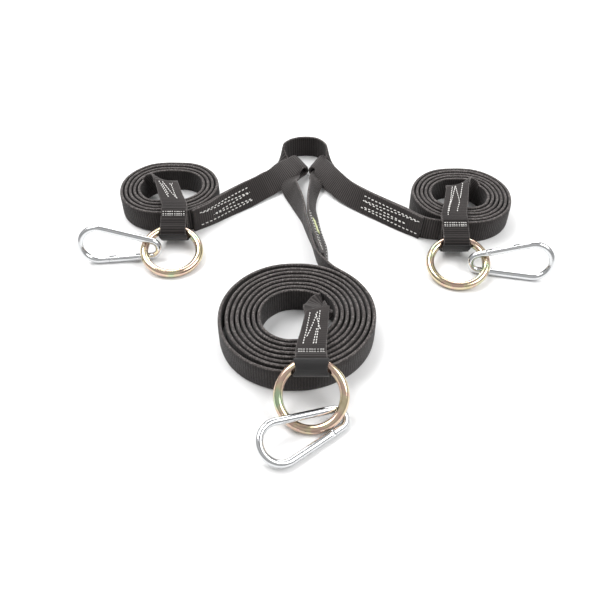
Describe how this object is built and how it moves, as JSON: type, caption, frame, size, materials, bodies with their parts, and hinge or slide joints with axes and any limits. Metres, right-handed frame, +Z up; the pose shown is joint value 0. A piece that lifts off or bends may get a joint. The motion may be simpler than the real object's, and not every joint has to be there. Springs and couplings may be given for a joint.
{
  "type": "three-leg webbing suspension strap",
  "caption": "Webbing suspension bridle: coiled strap legs joined by interlocked sewn eyes, each ending in a sleeved tab with a welded ring and a sprung snap hook.",
  "frame": {"origin": "centre of the footprint on the plane the coils stand on", "axes": "+X towards the right leg, +Y from the front leg to the back, +Z up"},
  "size_m": [0.449, 0.4082, 0.0447],
  "materials": {
    "webbing": "ribbed black polyester webbing",
    "sleeve": "smooth dark wear sleeve",
    "label": "plain woven label",
    "ring_metal": "yellow zinc plated steel",
    "hook_metal": "bright zinc plated steel"
  },
  "bodies": {
    "front_leg": {"front_strap_coil": "webbing", "front_strap_stem": "webbing", "front_strap_eye": "webbing", "front_strap_rise": "webbing", "front_ring_tab": "webbing", "front_wear_sleeve": "sleeve", "front_label": "label"},
    "left_leg": {"left_strap_coil": "webbing", "left_strap_arm": "webbing", "left_strap_eye": "webbing", "left_strap_rise": "webbing", "left_ring_tab": "webbing", "left_wear_sleeve": "sleeve"},
    "right_leg": {"right_strap_coil": "webbing", "right_strap_arm": "webbing", "right_strap_eye": "webbing", "right_strap_rise": "webbing", "right_ring_tab": "webbing", "right_wear_sleeve": "sleeve"},
    "left_ring_body": {"left_ring": "ring_metal"},
    "left_hook": {"left_hook_body": "hook_metal", "left_gate_rivet": "hook_metal"},
    "left_gate": {"left_hook_gate": "hook_metal", "left_latch_pin": "hook_metal", "left_gate_spring": "hook_metal", "left_gate_plunger": "hook_metal"},
    "right_ring_body": {"right_ring": "ring_metal"},
    "right_hook": {"right_hook_body": "hook_metal", "right_gate_rivet": "hook_metal"},
    "right_gate": {"right_hook_gate": "hook_metal", "right_latch_pin": "hook_metal", "right_gate_spring": "hook_metal", "right_gate_plunger": "hook_metal"},
    "front_ring_body": {"front_ring": "ring_metal"},
    "front_hook": {"front_hook_body": "hook_metal", "front_gate_rivet": "hook_metal"},
    "front_gate": {"front_hook_gate": "hook_metal", "front_latch_pin": "hook_metal", "front_gate_spring": "hook_metal", "front_gate_plunger": "hook_metal"}
  },
  "joints": [
    {"name": "left_leg_turn", "type": "hinge", "parent": "front_leg", "child": "left_leg", "pos_m": [-0.03513, 0.14787, 0.0082], "axis": [0, 0, 1], "range_deg": [0, 3]},
    {"name": "right_leg_turn", "type": "hinge", "parent": "front_leg", "child": "right_leg", "pos_m": [0.02207, 0.14817, 0.0082], "axis": [0, 0, 1], "range_deg": [-2, 0]},
    {"name": "left_ring_swing", "type": "hinge", "parent": "left_leg", "child": "left_ring_body", "pos_m": [-0.13552, 0.05508, 0.01561], "axis": [-1, 0, 0], "range_deg": [0, 60]},
    {"name": "left_hook_swing", "type": "hinge", "parent": "left_ring_body", "child": "left_hook", "pos_m": [-0.16159, 0.03214, 0.0125], "axis": [-0.0765, 0.9436, -0.322], "range_deg": [0, 60]},
    {"name": "left_gate_hinge", "type": "hinge", "parent": "left_hook", "child": "left_gate", "pos_m": [-0.16672, 0.02886, 0.0041], "axis": [-0.0765, 0.9436, -0.322], "range_deg": [0, 25], "stiffness_Nm_per_rad": 0.05, "springref_deg": -8.59},
    {"name": "right_ring_swing", "type": "hinge", "parent": "right_leg", "child": "right_ring_body", "pos_m": [0.13723, 0.03809, 0.01608], "axis": [-1, 0, 0], "range_deg": [0, 60]},
    {"name": "right_hook_swing", "type": "hinge", "parent": "right_ring_body", "child": "right_hook", "pos_m": [0.16333, 0.01253, 0.0118], "axis": [-0.1739, -0.9263, 0.3344], "range_deg": [0, 60]},
    {"name": "right_gate_hinge", "type": "hinge", "parent": "right_hook", "child": "right_gate", "pos_m": [0.16524, 0.0156, 0.0213], "axis": [0.1739, 0.9263, -0.3344], "range_deg": [0, 25], "stiffness_Nm_per_rad": 0.05, "springref_deg": -8.59},
    {"name": "front_ring_swing", "type": "hinge", "parent": "front_leg", "child": "front_ring_body", "pos_m": [-0.00349, -0.12907, 0.03461], "axis": [-1, 0, 0], "range_deg": [0, 60]},
    {"name": "front_hook_travel", "type": "hinge", "parent": "front_ring_body", "child": "front_hook", "pos_m": [-0.00349, -0.14855, 0.01958], "axis": [-0.0725, -0.598, 0.7982], "range_deg": [0, 50]},
    {"name": "front_gate_hinge", "type": "hinge", "parent": "front_hook", "child": "front_gate", "pos_m": [0.01169, -0.17392, 0.00334], "axis": [-0.2682, 0.3255, -0.9067], "range_deg": [0, 22], "stiffness_Nm_per_rad": 0.05, "springref_deg": -8.59}
  ]
}
